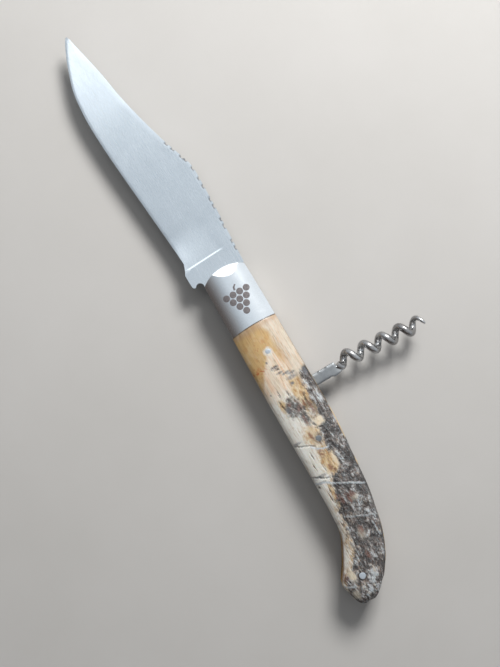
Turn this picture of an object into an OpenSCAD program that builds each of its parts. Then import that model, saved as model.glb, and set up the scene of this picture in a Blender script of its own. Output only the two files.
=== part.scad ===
// Folding pocket knife with a corkscrew hinged in its back, blade and corkscrew open.
// The knife lies on its side. +Y runs to the blade tip, +X to the spine side, +Z is up.
// The blade turns about the Z axis and the flat of the lower side lies on Z = 0.

/* [Handle] */
// thickness over both scales
handle_t = 14; // [11:0.5:18]
// liner plate thickness
liner_t = 1.2; // [0.8:0.1:1.6]
// gap between the liners, filled by the back spring
slot_w = 3.2; // [2.4:0.1:4]
// rear face of the bolsters, measured from the blade axis
bolster_rear = -11.1; // [-14:0.1:-9]
// straight wall left below the dome of the scales
side_wall = 1.2; // [0.8:0.1:2]
// fullness of the dome, 2 is an ellipse
dome_power = 2; // [2:0.1:4]
// slope of the facet on the front of the bolsters in degrees
facet_slope = 18; // [15:1:30]
// lean of that facet towards the back of the knife in degrees
facet_lean = 7; // [0:1:10]

/* [Blade] */
// thickness of tang and ricasso
blade_t = 3; // [2.2:0.1:3.6]
// thickness left at the cutting edge
edge_t = 0.3; // [0.1:0.05:0.6]
// radius of the round tang
tang_r = 6.15; // [5:0.05:6.2]
// edge side of the kick that rests on the spring when closed
kick_x = -7.85; // [-8:0.05:-7]
// depth of the filed nicks along the spine
nick_d = 0.45; // [0.2:0.05:0.8]

/* [Corkscrew] */
// width of the flat shank
shank_w = 3.9; // [3:0.1:5]
// thickness of the flat shank
shank_t = 3; // [2:0.1:3.1]
// distance from one coil to the next
worm_pitch = 6.45; // [5:0.05:8]
// wire radius of the worm
wire_r = 1.25; // [0.8:0.05:1.3]
// radius of the wire centre line about the worm axis
coil_r = 1.9; // [1.6:0.05:1.9]
// lean of the worm against its shank in degrees
worm_lean = -5.3; // [-8:0.1:0]
// depth of the pocket for the worm in each scale
pocket_d = 0.6; // [0.5:0.05:0.8]

/* [Pins] */
// blade pivot pin radius
pivot_r = 2; // [1.5:0.1:2.5]
// play of the blade and the corkscrew on their pins
running_gap = 0.04; // [0.01:0.01:0.1]
// front scale pin radius
front_pin_r = 0.8; // [0.6:0.1:1.2]
// spring pin radius
mid_pin_r = 0.8; // [0.6:0.1:1]
// rear pin radius
rear_pin_r = 1.1; // [0.8:0.1:1.5]
// corkscrew pivot pin radius
screw_pin_r = 0.9; // [0.7:0.1:1.1]

/* [Hidden] */

mid_z = handle_t / 2;
liner_z = mid_z + slot_w / 2;
scale_z = liner_z + liner_t;
scale_h = handle_t - scale_z;

front_pin = [2.8, -20.7];
spring_pin_at = [2.4, -53.7];
rear_pin_at = [-8.5, -99.9];
screw_pin_at = [8.3, -37.1];
rivets_at = [[8.7, 4.4], [3.4, -8.2]];

// how far the blind bores of pivot pin, rivets and corkscrew pin go into bolsters and scales
pivot_seat = 2;
rivet_seat = 2.4;
screw_seat = 0.6;
// wider head of the spring pin: its height and how much it is wider
head_h = 0.5;
head_rim = 0.25;

// front of the bolsters is round about this centre, and their facet starts at facet_y
nose_at = [3.6, -2.5];
nose_r = 13.3;
facet_y = 7.6;

// handle outline as [y, edge side x, back side x, dome height factor]
HANDLE = [[bolster_rear, -5.05, 11.25, 1], [-21, -5.5, 11.25, 1], [-32, -5.85, 11.2, 1],
          [-44, -6.2, 11.1, 1], [-52, -6.3, 10.8, 1], [-61, -6.4, 10, 1],
          [-73, -6.7, 8.9, 0.98], [-79, -7, 8, 0.96], [-83, -7.3, 7.1, 0.95],
          [-87, -8.3, 6.2, 0.94], [-91, -10.4, 5.1, 0.93], [-95, -12.7, 3.5, 0.92],
          [-99, -15.5, 1.5, 0.9], [-101, -15.9, 0.1, 0.88], [-103, -15.5, -1.3, 0.86],
          [-105, -15, -3.3, 0.82], [-107, -14.4, -5.4, 0.72], [-108.4, -13.3, -7.2, 0.55],
          [-109, -12, -8.6, 0.4]];
BOLSTER = [[11.6, -4.15, 11.15, 1], [4, -4.35, 11.25, 1], [-4, -4.6, 11.3, 1],
           [bolster_rear, -4.85, 11.25, 1]];

// blade above the ricasso as [y, edge x, spine x, spine thickness]
BLADE = [[15.6, -6.45, 11.8, 2.94], [17.5, -6.25, 11.9, 2.92], [21, -6.35, 12.1, 2.88],
         [29, -6.9, 12.6, 2.8], [39, -7.6, 13, 2.7], [44, -7.95, 13.1, 2.65], [47, -8.15, 12.7, 2.6],
         [51, -8.45, 11.4, 2.5], [57, -8.85, 9.4, 2.4], [65, -9.3, 7.2, 2.2], [73, -9.5, 5.3, 2],
         [79, -9.3, 4.1, 1.8], [87, -8.3, 2.9, 1.6], [95, -5.7, 1.3, 1.3], [99, -4, 0.4, 1.1],
         [102.6, -2.2, -0.3, 0.9], [104, -1.3, -0.8, 0.7]];
NICKS = [14.4, 17, 22.5, 25, 30, 32.5, 37.5, 40.5, 44.5, 48, 49.6, 53.4, 56];

// back side of the spring beside the folded corkscrew, and its side towards the blade
SPRING_BACK = [[4.1, -45.5], [3.75, -54.2], [2.45, -61], [1.25, -67], [-0.1, -73.7],
               [-0.6, -80.5], [1.4, -84]];
SPRING_IN = [[6.25, -17.2], [4, -20.2], [2.8, -29.7], [2, -39.7], [1.2, -49.7], [0.8, -54.2],
             [0.35, -59.7], [-0.65, -69.6], [-1.35, -73.7], [-2.3, -79.5], [-5.3, -89.2],
             [-8.3, -97.7]];

// smooth curve through a list of points of any dimension
function knot(P, i) = P[min(max(i, 0), len(P) - 1)];
function blend(a, b, c, d, t) =
    b + (c - a) * t / 2 + (2 * a - 5 * b + 4 * c - d) * t * t / 2
    + (3 * b - a - 3 * c + d) * t * t * t / 2;
function curve(P, n) = concat(
    [for (i = [0 : len(P) - 2]) for (k = [0 : n - 1])
        blend(knot(P, i - 1), knot(P, i), knot(P, i + 1), knot(P, i + 2), k / n)],
    [P[len(P) - 1]]);
function reversed(P) = [for (i = [len(P) - 1 : -1 : 0]) P[i]];

function swell(c) = pow(abs(c), 2 / dome_power);
function sgn(c) = c < 0 ? -1 : 1;
function dome_z(s, f) = min(scale_h, side_wall + (1.1 * scale_h * f - side_wall) * s);
function dome_section(s, steps) = concat(
    [[s[1], s[0], 0]],
    [for (k = [0 : steps])
        let (a = 180 * k / steps, c = cos(a))
        [(s[1] + s[2]) / 2 - (s[2] - s[1]) / 2 * sgn(c) * swell(c), s[0], dome_z(swell(sin(a)), s[3])]],
    [[s[2], s[0], 0]]);
function wedge_section(s) = [[s[1], s[0], -edge_t / 2], [s[2], s[0], -s[3] / 2],
                             [s[2], s[0], s[3] / 2], [s[1], s[0], edge_t / 2]];

outline = curve(HANDLE, 2);
bolster_outline = curve(BOLSTER, 2);
blade_curve = curve(BLADE, 3);
spine_table = reversed([for (s = blade_curve) [s[0], s[2]]]);

// worm: right-handed, from inside the shank end to the sharp tip
worm_at = [24.9, -36.3];
worm_start = -230;
worm_end = 1550;
worm_steps = 82;
taper = 230;
function worm_angle(k) = worm_start + (worm_end - worm_start) * k / worm_steps;
function worm_r(a) = wire_r * min(1, 0.2 + 0.8 * pow((worm_end - a) / taper, 0.8));
function worm_core(a) = coil_r + (wire_r - worm_r(a)) * 0.4;
function worm_section(a) = [for (j = [0 : 9])
    let (b = 36 * j, rad = worm_core(a) + worm_r(a) * cos(b), along = worm_r(a) * sin(b))
    [worm_pitch * a / 360 + along * cos(slope), (rad * cos(a)) + along * sin(slope) * sin(a),
     (rad * sin(a)) - along * sin(slope) * cos(a)]];
slope = atan(worm_pitch / (2 * PI * coil_r));

// solid through a list of sections with equal point counts
module loft(S) {
    n = len(S[0]);
    m = len(S);
    side = [for (i = [0 : m - 2]) for (j = [0 : n - 1]) for (h = [0, 1])
        h == 0 ? [i * n + j, i * n + (j + 1) % n, (i + 1) * n + j]
               : [i * n + (j + 1) % n, (i + 1) * n + (j + 1) % n, (i + 1) * n + j]];
    first = [for (j = [n - 1 : -1 : 0]) j];
    last = [for (j = [0 : n - 1]) (m - 1) * n + j];
    polyhedron(points = [for (s = S) for (p = s) p], faces = concat([first], side, [last]));
}

// pin or bore from z0 up to z1
module pin(at, r, z0, z1) {
    translate([at[0], at[1], z0])
        cylinder(h = z1 - z0, r = r, $fn = 48);
}

// mirrors its children from the upper side of the handle to the lower side
module lower_side() {
    translate([0, 0, handle_t])
        mirror([0, 0, 1])
            children();
}

module handle_shape() {
    polygon(concat(
        [for (s = outline) [s[1], s[0]]],
        reversed([for (s = outline) [s[2], s[0]]])));
}

module bolster_shape() {
    intersection() {
        polygon(concat(
            [for (s = bolster_outline) [s[1], s[0]]],
            reversed([for (s = bolster_outline) [s[2], s[0]]])));
        translate(nose_at)
            circle(r = nose_r, $fn = 96);
    }
}

// room for the folded worm, open to the back of the handle
module trough_shape() {
    polygon(concat([[14, -45.5]], curve(SPRING_BACK, 2), [[14, -84.8]]));
}

module liner() {
    color("Goldenrod")
    difference() {
        translate([0, 0, liner_z])
            linear_extrude(height = liner_t)
                difference() {
                    union() {
                        handle_shape();
                        bolster_shape();
                    }
                    trough_shape();
                }
        pin([0, 0], pivot_r, 0, handle_t);
        pin(front_pin, front_pin_r, 0, handle_t);
        pin(spring_pin_at, mid_pin_r, 0, handle_t);
        pin(rear_pin_at, rear_pin_r, 0, handle_t);
        pin(screw_pin_at, screw_pin_r, 0, handle_t);
        for (p = rivets_at)
            pin(p, front_pin_r, 0, handle_t);
    }
}

module bolster() {
    color("Silver")
    difference() {
        intersection() {
            translate([0, 0, scale_z])
                loft([for (s = bolster_outline) dome_section(s, 16)]);
            translate([nose_at[0], nose_at[1], scale_z])
                cylinder(h = scale_h, r = nose_r, $fn = 96);
        }
        translate([nose_at[0], facet_y, handle_t])
            rotate([-facet_slope, facet_lean, 0])
                translate([-12, -6, 0])
                    cube([24, 16, 5]);
        pin([0, 0], pivot_r, 0, scale_z + pivot_seat);
        for (p = rivets_at)
            pin(p, front_pin_r, 0, scale_z + rivet_seat);
    }
}

module horn_scale() {
    color("Wheat")
    difference() {
        translate([0, 0, scale_z])
            loft([for (s = outline) dome_section(s, 16)]);
        translate([0, 0, scale_z - 1])
            linear_extrude(height = 1 + pocket_d)
                trough_shape();
        pin(front_pin, front_pin_r, 0, handle_t + 1);
        pin(spring_pin_at, mid_pin_r, 0, handle_t + 1);
        pin(spring_pin_at, mid_pin_r + head_rim, handle_t - head_h, handle_t + 1);
        pin(rear_pin_at, rear_pin_r, 0, handle_t + 1);
        pin(screw_pin_at, screw_pin_r, 0, scale_z + screw_seat);
    }
}

module liner_top() { liner(); }
module liner_bottom() { lower_side() liner(); }
module bolster_top() { bolster(); }
module bolster_bottom() { lower_side() bolster(); }
module scale_top() { horn_scale(); }
module scale_bottom() { lower_side() horn_scale(); }

module tang_shape() {
    intersection() {
        circle(r = tang_r, $fn = 96);
        translate([-4.1, -tang_r])
            square([4.1 + tang_r, 2 * tang_r]);
    }
    translate([-4.1, 0])
        square([4.1 + tang_r, 9.5]);
    difference() {
        polygon([[-4.1, 9], [11.4, 9], [11.8, 15.9], [-6.9, 15.9], [kick_x, 15.1],
                 [kick_x, 10.8], [-7.3, 9.9], [-4.1, 9.9]]);
        translate([-5.5, 9.2])
            circle(r = 1.2, $fn = 48);
    }
}

module blade() {
    color("Gainsboro")
    difference() {
        union() {
            translate([0, 0, mid_z - blade_t / 2])
                linear_extrude(height = blade_t)
                    tang_shape();
            translate([0, 0, mid_z])
                loft([for (s = blade_curve) wedge_section(s)]);
        }
        pin([0, 0], pivot_r + running_gap, 0, handle_t);
        for (y = NICKS)
            pin([lookup(y, spine_table) + 0.7 - nick_d, y], 0.7, 0, handle_t);
    }
}

module blade_pivot_pin() {
    color("DimGray")
        pin([0, 0], pivot_r, handle_t - scale_z - pivot_seat, scale_z + pivot_seat);
}

module bolster_rivets() {
    color("Silver") {
        for (p = rivets_at)
            pin(p, front_pin_r, liner_z, scale_z + rivet_seat);
        lower_side()
            for (p = rivets_at)
                pin(p, front_pin_r, liner_z, scale_z + rivet_seat);
    }
}

module back_spring() {
    color("LightSteelBlue")
    translate([0, 0, mid_z - slot_w / 2])
        linear_extrude(height = slot_w)
            difference() {
                intersection() {
                    union() {
                        handle_shape();
                        bolster_shape();
                    }
                    polygon(concat(
                        [[6.25, 8.95], [20, 8.95], [20, -35], [6, -35], [6, -37.5], [5.6, -41.5]],
                        curve(SPRING_BACK, 3),
                        [[20, -84.8], [20, -112], [-11.1, -112], [-11.1, -100.8], [-10.4, -99.2]],
                        reversed(curve(SPRING_IN, 3))));
                }
                translate(screw_pin_at)
                    circle(r = shank_w / 2 + 0.2, $fn = 64);
                translate(spring_pin_at)
                    circle(r = mid_pin_r, $fn = 48);
                translate(rear_pin_at)
                    circle(r = rear_pin_r, $fn = 48);
            }
}

module shank_shape() {
    translate(screw_pin_at)
        circle(r = shank_w / 2, $fn = 64);
    translate([screw_pin_at[0], screw_pin_at[1] - shank_w / 2])
        square([11, shank_w]);
    polygon([[17.2, -39], [17.8, -39.6], [19.2, -39.45], [21.2, -39], [21.6, -38.3], [21.3, -37.7],
             [20.4, -37.2], [19.9, -36.4], [19.7, -35.2], [17.2, -35.2]]);
}

module corkscrew() {
    color("LightSlateGray")
    union() {
        difference() {
            translate([0, 0, mid_z - shank_t / 2])
                linear_extrude(height = shank_t)
                    shank_shape();
            pin(screw_pin_at, screw_pin_r + running_gap, 0, handle_t);
        }
        translate([worm_at[0], worm_at[1], mid_z])
            rotate([0, 0, worm_lean])
                loft([for (k = [0 : worm_steps]) worm_section(worm_angle(k))]);
    }
}

module corkscrew_pivot_pin() {
    color("DimGray")
        pin(screw_pin_at, screw_pin_r, handle_t - scale_z - screw_seat, scale_z + screw_seat);
}

module spring_pin() {
    color("Gray") {
        pin(spring_pin_at, mid_pin_r, 0, handle_t);
        pin(spring_pin_at, mid_pin_r + head_rim, 0, head_h);
        pin(spring_pin_at, mid_pin_r + head_rim, handle_t - head_h, handle_t);
    }
}

module rear_pin() {
    color("Gray")
        pin(rear_pin_at, rear_pin_r, 0.35, handle_t - 0.35);
}

module front_scale_pins() {
    color("Silver") {
        pin(front_pin, front_pin_r, liner_z, handle_t);
        lower_side()
            pin(front_pin, front_pin_r, liner_z, handle_t);
    }
}

blade();
blade_pivot_pin();
liner_top();
liner_bottom();
bolster_top();
bolster_bottom();
bolster_rivets();
scale_top();
scale_bottom();
back_spring();
corkscrew();
corkscrew_pivot_pin();
spring_pin();
rear_pin();
front_scale_pins();
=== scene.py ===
import math

import bpy
import bmesh
import numpy as np
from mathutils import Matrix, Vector
from mathutils.geometry import delaunay_2d_cdt


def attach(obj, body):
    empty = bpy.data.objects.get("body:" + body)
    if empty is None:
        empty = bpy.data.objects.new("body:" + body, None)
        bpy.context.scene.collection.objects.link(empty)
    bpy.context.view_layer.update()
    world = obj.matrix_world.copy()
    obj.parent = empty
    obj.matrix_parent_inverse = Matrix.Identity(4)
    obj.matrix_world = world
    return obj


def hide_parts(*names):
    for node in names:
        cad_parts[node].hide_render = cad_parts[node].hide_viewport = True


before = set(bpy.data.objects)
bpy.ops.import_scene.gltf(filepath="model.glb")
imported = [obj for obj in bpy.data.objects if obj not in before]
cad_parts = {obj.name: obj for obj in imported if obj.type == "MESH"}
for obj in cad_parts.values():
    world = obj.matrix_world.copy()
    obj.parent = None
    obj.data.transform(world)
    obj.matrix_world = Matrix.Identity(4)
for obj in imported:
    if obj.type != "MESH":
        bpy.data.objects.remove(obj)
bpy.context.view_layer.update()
MM = 0.001
MID = 7.0          # mid plane of the knife, mm
THICK = 14.0       # thickness of the whole knife, mm
SCALE_Z = 9.8      # inner face of the upper scale and bolster, mm


# ---- curves and noise
def spline(points, n=14):
    """Smooth curve through points of any dimension."""
    P = [np.array(p, float) for p in points]
    out = []
    for i in range(len(P) - 1):
        a, b, c, d = P[max(i - 1, 0)], P[i], P[i + 1], P[min(i + 2, len(P) - 1)]
        for k in range(n):
            t = k / n
            out.append(b + (c - a) * t / 2 + (2 * a - 5 * b + 4 * c - d) * t * t / 2
                       + (3 * b - a - 3 * c + d) * t ** 3 / 2)
    out.append(P[-1])
    return np.array(out)


def smooth(a, b, x):
    """0 at a, 1 at b, with soft ends; a may be larger than b."""
    t = np.clip((np.asarray(x, float) - a) / (b - a), 0, 1)
    return t * t * (3 - 2 * t)


def hash2(ix, iy, seed):
    """A fixed value in 0 to 1 for every whole pair and seed."""
    n = (ix * 374761393 + iy * 668265263 + seed * 2147483647) & 0xFFFFFFFF
    n = ((n ^ (n >> 13)) * 1274126177) & 0xFFFFFFFF
    n = n ^ (n >> 16)
    return (n & 0xFFFFFF) / float(0xFFFFFF)


def noise(x, y, seed=0):
    """Value noise in -1 to 1."""
    x = np.asarray(x, float)
    y = np.asarray(y, float)
    ix = np.floor(x).astype(np.int64)
    iy = np.floor(y).astype(np.int64)
    fx = x - ix
    fy = y - iy
    fx = fx * fx * (3 - 2 * fx)
    fy = fy * fy * (3 - 2 * fy)
    a = hash2(ix, iy, seed)
    b = hash2(ix + 1, iy, seed)
    c = hash2(ix, iy + 1, seed)
    d = hash2(ix + 1, iy + 1, seed)
    return 2 * (a * (1 - fx) * (1 - fy) + b * fx * (1 - fy) + c * (1 - fx) * fy + d * fx * fy) - 1


def fbm(x, y, seed=0, octaves=4):
    """Layered value noise in -1 to 1."""
    total, amp, norm = 0, 1.0, 0.0
    for k in range(octaves):
        total = total + amp * noise(x * 2 ** k, y * 2 ** k, seed + 17 * k)
        norm += amp
        amp *= 0.55
    return total / norm


def srgb(h):
    """Linear colour of a hex colour."""
    c = [int(h[i:i + 2], 16) / 255 for i in (0, 2, 4)]
    return np.array([v / 12.92 if v <= 0.04045 else ((v + 0.055) / 1.055) ** 2.4 for v in c])


# ---- outlines, as in the CAD source, mm
REAR = -11.1           # rear end of the bolsters
# y, x of the two sides, share of the full height
HANDLE = [[REAR, -5.05, 11.25, 1], [-21, -5.5, 11.25, 1], [-32, -5.85, 11.2, 1],
          [-44, -6.2, 11.1, 1], [-52, -6.3, 10.8, 1], [-61, -6.4, 10, 1],
          [-73, -6.7, 8.9, 0.98], [-79, -7, 8, 0.96], [-83, -7.3, 7.1, 0.95],
          [-87, -8.3, 6.2, 0.94], [-91, -10.4, 5.1, 0.93], [-95, -12.7, 3.5, 0.92],
          [-99, -15.5, 1.5, 0.9], [-101, -15.9, 0.1, 0.88], [-103, -15.5, -1.3, 0.86],
          [-105, -15, -3.3, 0.82], [-107, -14.4, -5.4, 0.72], [-108.4, -13.3, -7.2, 0.55],
          [-109, -12, -8.6, 0.4]]
# y, x of the two sides
BOLSTER = [[11.6, -4.15, 11.15], [4, -4.35, 11.25], [-4, -4.6, 11.3], [REAR, -4.85, 11.25]]
# y, x of the edge, x of the back, thickness at the back
BLADE = [[15.6, -6.45, 11.8, 2.94], [17.5, -6.25, 11.9, 2.92], [21, -6.35, 12.1, 2.88],
         [29, -6.9, 12.6, 2.8], [39, -7.6, 13, 2.7], [44, -7.95, 13.1, 2.65], [47, -8.15, 12.7, 2.6],
         [51, -8.45, 11.4, 2.5], [57, -8.85, 9.4, 2.4], [65, -9.3, 7.2, 2.2], [73, -9.5, 5.3, 2],
         [79, -9.3, 4.1, 1.8], [87, -8.3, 2.9, 1.6], [95, -5.7, 1.3, 1.3], [99, -4, 0.4, 1.1],
         [102.6, -2.2, -0.3, 0.9], [104, -1.3, -0.8, 0.7]]
# y of the nicks filed in the blade's back
NICKS = [14.4, 17, 22.5, 25, 30, 32.5, 37.5, 40.5, 44.5, 48, 49.6, 53.4, 56]
# x, y of the spring's back, where the folded worm lies
SPRING_BACK = [[4.1, -45.5], [3.75, -54.2], [2.45, -61], [1.25, -67], [-0.1, -73.7],
               [-0.6, -80.5], [1.4, -84]]
NICK_W = (0.75, 0.6, 0.8, 0.55)      # half widths and depths that the nicks take in turn, mm
NICK_D = (0.50, 0.40, 0.54, 0.44)
NOSE = (3.6, -2.5)     # centre and radius of the bolster's round front
NOSE_R = 13.3
FACET_Y = 7.6          # where the facet cuts the middle of the crown
FACET_SLOPE = math.tan(math.radians(18))
FACET_LEAN = math.tan(math.radians(7))
SHANK_PIN = (8.3, -37.1)
SHANK_W = 3.9
FRONT_PIN = (2.8, -20.7)
SPRING_PIN = (2.4, -53.7)
REAR_PIN = (-8.5, -99.9)

handle_curve = spline(HANDLE)[::-1]
bolster_curve = spline(BOLSTER)[::-1]
blade_curve = spline(BLADE, 10)
trough_curve = spline(SPRING_BACK)[::-1]


def along(curve, y, col):
    """Column col of an outline at y."""
    return np.interp(y, curve[:, 0], curve[:, col])


# ---- mesh helpers
def link(name, verts, faces, material, body, sharp=30.0, merge=0.0):
    """A new piece from millimetre points, smooth except at edges sharper than sharp degrees."""
    me = bpy.data.meshes.new(name)
    me.from_pydata([tuple(v) for v in np.asarray(verts) * MM], [], [tuple(f) for f in faces])
    bm = bmesh.new()
    bm.from_mesh(me)
    if merge:
        bmesh.ops.remove_doubles(bm, verts=bm.verts, dist=merge * MM)
    bmesh.ops.recalc_face_normals(bm, faces=bm.faces)
    limit = math.radians(sharp)
    for f in bm.faces:
        f.smooth = True
    for e in bm.edges:
        e.smooth = len(e.link_faces) == 2 and e.calc_face_angle(0) < limit
    bm.to_mesh(me)
    bm.free()
    me.materials.append(material)
    ob = bpy.data.objects.new(name, me)
    bpy.context.scene.collection.objects.link(ob)
    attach(ob, body)
    return ob


def point_values(ob, name, values):
    """Store one number or one colour for each point of ob, for its material to read."""
    kind, key = ("FLOAT_COLOR", "color") if values.ndim == 2 else ("FLOAT", "value")
    ob.data.attributes.new(name, kind, "POINT").data.foreach_set(key, values.ravel())


def turn_over(*grids):
    """Move grids of the upper side to the lower side."""
    for grid in grids:
        grid[..., 2] = THICK - grid[..., 2]


def grid_solid(top, bottom):
    """Closed solid between two point grids of the same shape (rows, cols, 3)."""
    r, c = top.shape[:2]
    verts = np.concatenate([top.reshape(-1, 3), bottom.reshape(-1, 3)])
    n = r * c
    faces = []
    for i in range(r - 1):
        for j in range(c - 1):
            a, b, d, e = i * c + j, i * c + j + 1, (i + 1) * c + j + 1, (i + 1) * c + j
            faces.append((a, b, d, e))
            faces.append((n + a, n + e, n + d, n + b))
    rim = list(range(c)) + [i * c + c - 1 for i in range(1, r)] \
        + [(r - 1) * c + j for j in range(c - 2, -1, -1)] + [i * c for i in range(r - 2, 0, -1)]
    for k in range(len(rim)):
        a, b = rim[k], rim[(k + 1) % len(rim)]
        faces.append((a, n + a, n + b, b))
    return verts, faces


def plate(outline, holes, inner, height):
    """Closed plate: 2D outline and holes filled with inner points, height(x, y) gives (low z, high z)."""
    rings = [outline] + holes
    pts, edges = [], []
    for ring in rings:
        s = len(pts)
        pts += [tuple(p) for p in ring]
        edges += [(s + k, s + (k + 1) % len(ring)) for k in range(len(ring))]
    pts += [tuple(p) for p in inner]
    v2, _, f2, _, _, _ = delaunay_2d_cdt([Vector(p) for p in pts], edges, [], 0, 1e-5)
    v2 = np.array([[p.x, p.y] for p in v2])
    keep = []
    for f in f2:
        c = v2[list(f)].mean(0)
        if inside(c, outline) and not any(inside(c, h) for h in holes):
            keep.append(tuple(f))
    # a dictionary keeps the edges in order; an edge without its opposite lies on the rim
    used = {}
    for f in keep:
        for k in range(len(f)):
            used[f[k], f[(k + 1) % len(f)]] = True
    n = len(v2)
    low, high = height(v2[:, 0], v2[:, 1])
    verts = np.concatenate([np.column_stack([v2, high]), np.column_stack([v2, low])])
    faces = keep + [tuple(n + i for i in reversed(f)) for f in keep]
    for a, b in used:
        if (b, a) not in used:
            faces.append((b, a, n + a, n + b))
    return verts, faces


def inside(p, ring):
    """Whether the 2D point p lies inside the closed ring."""
    x, y = p
    hit = False
    for k in range(len(ring)):
        x1, y1 = ring[k - 1]
        x2, y2 = ring[k]
        if (y1 > y) != (y2 > y) and x < (x2 - x1) * (y - y1) / (y2 - y1) + x1:
            hit = not hit
    return hit


def arc(cx, cy, r, a0, a1, n):
    """n + 1 points on a circle from a0 to a1 degrees."""
    return [(cx + r * math.cos(math.radians(a0 + (a1 - a0) * k / n)),
             cy + r * math.sin(math.radians(a0 + (a1 - a0) * k / n))) for k in range(n + 1)]


def dense(ring, step):
    """The ring with points no further apart than step."""
    out = []
    for k in range(len(ring)):
        a = np.array(ring[k])
        b = np.array(ring[(k + 1) % len(ring)])
        m = max(1, int(np.linalg.norm(b - a) / step))
        out += [tuple(a + (b - a) * t / m) for t in range(m)]
    return out


# ---- materials
class Tree:
    """Small helper around a node tree."""

    def __init__(self, tree):
        self.tree = tree

    def new(self, kind, **settings):
        node = self.tree.nodes.new("ShaderNode" + kind)
        for key, value in settings.items():
            setattr(node, key, value)
        return node

    def put(self, socket, value):
        """Link value when it is a socket, else set it."""
        if isinstance(value, bpy.types.NodeSocket):
            self.tree.links.new(value, socket)
        else:
            socket.default_value = value

    def fill(self, node, **values):
        """Put values in a node's inputs; a name's _ stands for a space."""
        for key, value in values.items():
            self.put(node.inputs[key.replace("_", " ")], value)

    def ramp(self, fac, stops):
        r = self.new("ValToRGB")
        elements = r.color_ramp.elements
        while len(elements) < len(stops):
            elements.new(0.5)
        for element, (pos, colour) in zip(elements, stops):
            element.position = pos
            element.color = (*colour, 1)
        self.fill(r, Fac=fac)
        return r.outputs["Color"]

    def range(self, value, a, b, lo, hi):
        m = self.new("MapRange")
        self.fill(m, Value=value, From_Min=a, From_Max=b, To_Min=lo, To_Max=hi)
        return m.outputs["Result"]

    def math(self, op, a, b=0.0):
        m = self.new("Math", operation=op)
        self.put(m.inputs[0], a)
        self.put(m.inputs[1], b)
        return m.outputs[0]


class Nodes(Tree):
    """The tree of a new material."""

    def __init__(self, name):
        self.mat = bpy.data.materials.new(name)
        self.mat.use_nodes = True
        super().__init__(self.mat.node_tree)
        self.bsdf = self.tree.nodes["Principled BSDF"]
        self.coord = self.new("TexCoord").outputs["Object"]

    def set(self, **values):
        self.fill(self.bsdf, **values)

    def noise(self, scale, stretch=(1, 1, 1), detail=4.0, rough=0.55, distort=0.0, shift=(0, 0, 0)):
        m = self.new("Mapping")
        self.fill(m, Vector=self.coord, Scale=[scale * k for k in stretch], Location=shift)
        n = self.new("TexNoise")
        self.fill(n, Vector=m.outputs["Vector"], Scale=1.0, Detail=detail, Roughness=rough,
                  Distortion=distort)
        return n.outputs["Fac"]

    def mix(self, fac, a, b, mode="MIX"):
        m = self.new("Mix", data_type="RGBA", blend_type=mode)
        a, b = [c if isinstance(c, bpy.types.NodeSocket) else (*c, 1) for c in (a, b)]
        self.fill(m, Factor=fac, A=a, B=b)
        return m.outputs["Result"]

    def bump(self, height, strength, distance, below=None):
        b = self.new("Bump")
        self.fill(b, Strength=strength, Distance=distance, Height=height)
        if below is not None:
            self.fill(b, Normal=below)
        return b.outputs["Normal"]

    def attribute(self, name):
        return self.new("Attribute", attribute_name=name)


def steel(name, dark, light, rough, grain, bump, tint=None, shade_nicks=False):
    """Brushed or polished steel: grain is the stretch of its brushing, tint a dull stain colour."""
    m = Nodes(name)
    fine = m.noise(2600, grain, 3, 0.6)
    wide = m.noise(160, (1, 0.7, 1), 4, 0.6, 0.4)
    scratch = m.noise(900, tuple(0.4 * g for g in grain), 6, 0.75, 0.0, (3, 1, 2))
    col = m.mix(m.range(wide, 0.3, 0.7, 0, 1), dark, light)
    col = m.mix(m.range(fine, 0.35, 0.65, 0.0, 0.16), col, tuple(0.7 * c for c in dark))
    if tint is not None:
        blot = m.noise(330, (1, 1, 1), 5, 0.65, 0.6, (7, 2, 5))
        col = m.mix(m.range(blot, 0.56, 0.74, 0, 0.45), col, tint)
    # painted shade: the blade's filed nicks are darkened from a point attribute
    if shade_nicks:
        col = m.mix(m.math("MULTIPLY", m.attribute("painted_nick_shade").outputs["Fac"], 0.85), col, (0.10, 0.09, 0.085))
    r = m.math("ADD", m.range(fine, 0.3, 0.7, rough - 0.05, rough + 0.06),
               m.range(scratch, 0.55, 0.75, 0, 0.1))
    m.set(Base_Color=col, Metallic=1.0, Roughness=r,
          Normal=m.bump(scratch, bump * 0.6, 0.00002, m.bump(fine, bump, 0.00001)))
    return m.mat


steel_blade = steel("satin_blade_steel", (0.56, 0.61, 0.65), (0.61, 0.66, 0.70), 0.25, (3, 0.12, 1), 0.16,
                    shade_nicks=True)
steel_bolster = steel("polished_bolster_steel", (0.74, 0.78, 0.81), (0.80, 0.84, 0.87), 0.18,
                      (0.4, 1.6, 1), 0.10)
steel_screw = steel("forged_corkscrew_steel", (0.20, 0.19, 0.185), (0.52, 0.53, 0.54), 0.25,
                    (1, 1, 1), 0.5, (0.20, 0.18, 0.16))
steel_shank = steel("ground_shank_steel", (0.16, 0.17, 0.18), (0.31, 0.325, 0.335), 0.50,
                    (1, 1, 1), 1.0, (0.14, 0.13, 0.12))
steel_spring = steel("blued_spring_steel", (0.34, 0.35, 0.37), (0.48, 0.49, 0.50), 0.32,
                     (1.5, 0.15, 1), 0.3, (0.18, 0.16, 0.15))
steel_pin = steel("pin_steel", (0.44, 0.48, 0.52), (0.58, 0.62, 0.66), 0.38, (1, 1, 1), 0.8)
steel_worn = steel("worn_pin_steel", (0.13, 0.14, 0.15), (0.24, 0.255, 0.265), 0.5,
                   (1, 1, 1), 1.0, (0.09, 0.08, 0.07))


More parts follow.
